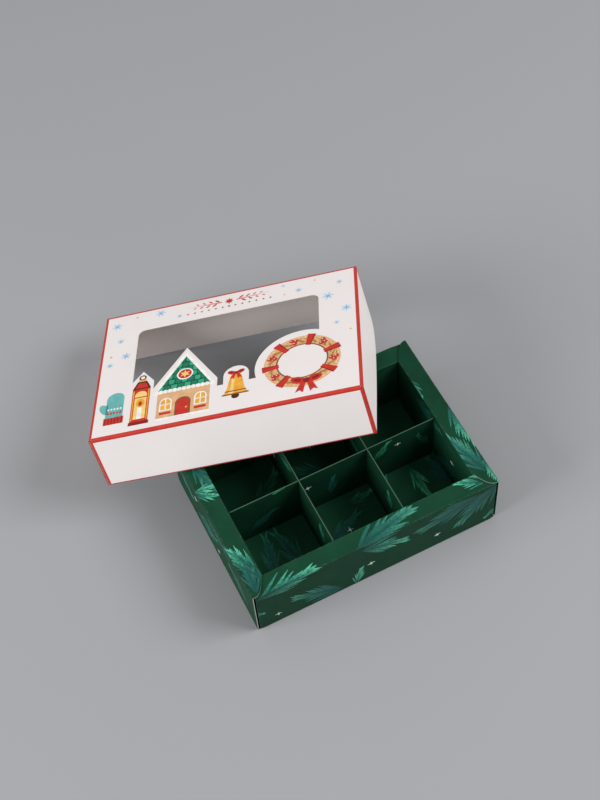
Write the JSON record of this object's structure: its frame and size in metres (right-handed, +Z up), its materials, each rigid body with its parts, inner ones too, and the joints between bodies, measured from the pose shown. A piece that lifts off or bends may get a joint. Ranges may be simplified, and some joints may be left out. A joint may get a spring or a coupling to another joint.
{
  "type": "sweet box",
  "caption": "Open folding carton for sweets: hollow-walled tray with crossed dividers, and a lift-off lid with a die-cut film window leaning on its rim.",
  "frame": {"origin": "centre of the tray's underside", "axes": "+Z up; +X along the tray's long side to the right; +Y to the tray's back, where the lid leans"},
  "size_m": [0.1709, 0.1883, 0.0832],
  "materials": {
    "tray_board": "satin varnished print",
    "insert_board": "satin varnished print",
    "lid_board": "satin varnished print",
    "window_film": "clear gloss"
  },
  "bodies": {
    "tray": {"tray_floor_panel": "tray_board", "tray_front_outer_wall": "tray_board", "tray_front_ledge": "tray_board", "tray_front_inner_wall": "tray_board", "tray_front_foot_flap": "tray_board", "tray_right_outer_wall": "tray_board", "tray_right_ledge": "tray_board", "tray_right_inner_wall": "tray_board", "tray_right_foot_flap": "tray_board", "tray_back_outer_wall": "tray_board", "tray_back_ledge": "tray_board", "tray_back_inner_wall": "tray_board", "tray_back_foot_flap": "tray_board", "tray_left_outer_wall": "tray_board", "tray_left_ledge": "tray_board", "tray_left_inner_wall": "tray_board", "tray_left_foot_flap": "tray_board"},
    "insert": {"long_divider": "insert_board", "left_short_divider": "insert_board", "right_short_divider": "insert_board"},
    "lid": {"lid_top_panel": "lid_board", "lid_front_wall": "lid_board", "lid_right_wall": "lid_board", "lid_back_wall": "lid_board", "lid_left_wall": "lid_board", "lid_front_left_tab": "lid_board", "lid_front_right_tab": "lid_board", "lid_back_left_tab": "lid_board", "lid_back_right_tab": "lid_board", "lid_window_film": "window_film"}
  },
  "joints": [
    {"name": "lid_lift", "type": "slide", "parent": "tray", "child": "lid", "axis": [0, 0, 1], "range_m": [0, 0.06]},
    {"name": "insert_lift", "type": "slide", "parent": "tray", "child": "insert", "axis": [0, 0, 1], "range_m": [0, 0.008]}
  ]
}
